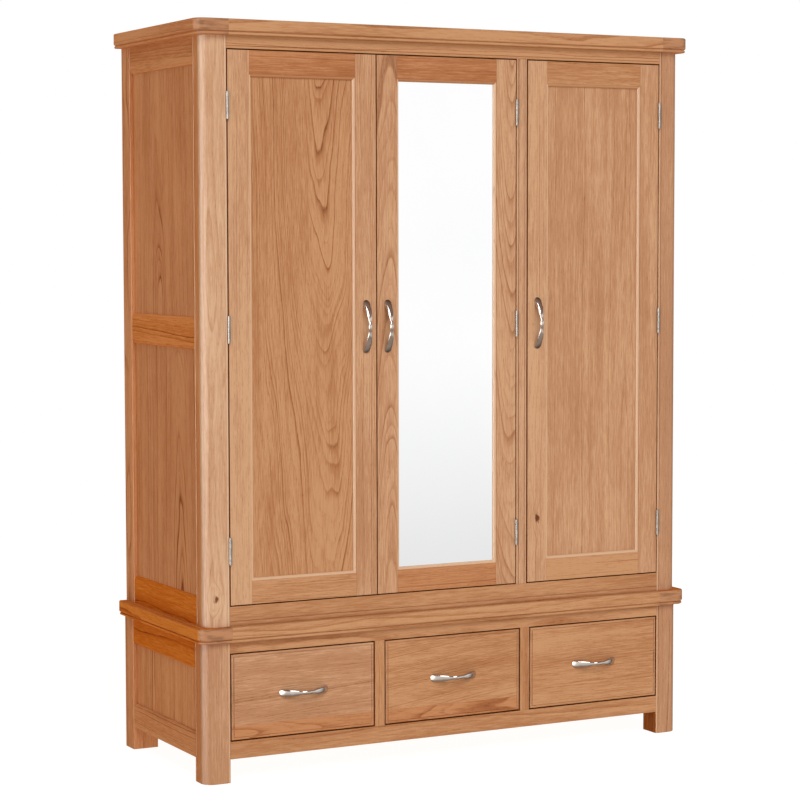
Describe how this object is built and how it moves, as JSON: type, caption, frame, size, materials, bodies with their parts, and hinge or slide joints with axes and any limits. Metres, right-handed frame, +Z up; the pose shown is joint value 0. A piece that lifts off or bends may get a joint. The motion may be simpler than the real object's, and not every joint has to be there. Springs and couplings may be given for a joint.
{
  "type": "wardrobe",
  "caption": "Freestanding oak wardrobe: framed doors on butt hinges, one with a full-length mirror, over a base with a row of sliding drawers; bow handles.",
  "frame": {"origin": "floor level, middle of the plan with the handles counted in", "axes": "+X to the right as seen from the front, +Y from the doors to the back, +Z up"},
  "size_m": [1.484, 0.586, 1.95],
  "materials": {
    "front_oak": "satin lacquered oak, honey toned",
    "side_oak": "satin lacquered oak, warmer and darker",
    "inner_wood": "plain sanded light wood",
    "handle_nickel": "polished nickel plate",
    "hinge_nickel": "satin nickel plate",
    "rail_steel": "plated steel tube",
    "mirror_glass": "silvered glass"
  },
  "bodies": {
    "carcass": {"base_front_left_post": "front_oak", "base_front_right_post": "front_oak", "base_back_left_post": "side_oak", "base_back_right_post": "side_oak", "base_front_bottom_rail": "front_oak", "base_front_top_rail": "front_oak", "drawer_divider_left": "front_oak", "drawer_divider_right": "front_oak", "base_left_side": "side_oak", "base_right_side": "side_oak", "base_back_board": "inner_wood", "base_dust_board": "inner_wood", "waist_board": "front_oak", "cabinet_front_left_post": "front_oak", "cabinet_front_right_post": "front_oak", "cabinet_back_left_post": "side_oak", "cabinet_back_right_post": "side_oak", "cabinet_bottom_rail": "front_oak", "cabinet_frieze_rail": "front_oak", "cabinet_left_panel": "side_oak", "cabinet_left_top_rail": "side_oak", "cabinet_left_middle_rail": "side_oak", "cabinet_left_bottom_rail": "side_oak", "cabinet_right_panel": "side_oak", "cabinet_right_top_rail": "side_oak", "cabinet_right_middle_rail": "side_oak", "cabinet_right_bottom_rail": "side_oak", "cabinet_partition": "front_oak", "cabinet_floor": "inner_wood", "cabinet_back_panel": "inner_wood", "hanging_rail_left": "rail_steel", "hanging_rail_right": "rail_steel", "cornice": "front_oak"},
    "left_door": {"left_door_frame": "front_oak", "left_door_panel": "front_oak", "left_door_handle": "handle_nickel", "left_door_hinge_bottom": "hinge_nickel", "left_door_hinge_middle": "hinge_nickel", "left_door_hinge_top": "hinge_nickel"},
    "mirror_door": {"mirror_door_frame": "front_oak", "mirror_door_glass": "mirror_glass", "mirror_door_handle": "handle_nickel", "mirror_door_hinge_bottom": "hinge_nickel", "mirror_door_hinge_middle": "hinge_nickel", "mirror_door_hinge_top": "hinge_nickel"},
    "right_door": {"right_door_frame": "front_oak", "right_door_panel": "front_oak", "right_door_handle": "handle_nickel", "right_door_hinge_bottom": "hinge_nickel", "right_door_hinge_middle": "hinge_nickel", "right_door_hinge_top": "hinge_nickel"},
    "left_drawer": {"left_drawer_front": "front_oak", "left_drawer_box": "inner_wood", "left_drawer_handle": "handle_nickel"},
    "middle_drawer": {"middle_drawer_front": "front_oak", "middle_drawer_box": "inner_wood", "middle_drawer_handle": "handle_nickel"},
    "right_drawer": {"right_drawer_front": "front_oak", "right_drawer_box": "inner_wood", "right_drawer_handle": "handle_nickel"}
  },
  "joints": [
    {"name": "left_door_hinge", "type": "hinge", "parent": "carcass", "child": "left_door", "pos_m": [-0.6525, -0.2675, 1.167], "axis": [0, 0, -1], "range_deg": [0, 110]},
    {"name": "mirror_door_hinge", "type": "hinge", "parent": "carcass", "child": "mirror_door", "pos_m": [0.19417, -0.2675, 1.167], "axis": [0, 0, 1], "range_deg": [0, 110]},
    {"name": "right_door_hinge", "type": "hinge", "parent": "carcass", "child": "right_door", "pos_m": [0.6525, -0.2675, 1.167], "axis": [0, 0, 1], "range_deg": [0, 110]},
    {"name": "left_drawer_slide", "type": "slide", "parent": "carcass", "child": "left_drawer", "axis": [0, -1, 0], "range_m": [0, 0.33]},
    {"name": "middle_drawer_slide", "type": "slide", "parent": "carcass", "child": "middle_drawer", "axis": [0, -1, 0], "range_m": [0, 0.33]},
    {"name": "right_drawer_slide", "type": "slide", "parent": "carcass", "child": "right_drawer", "axis": [0, -1, 0], "range_m": [0, 0.33]}
  ]
}
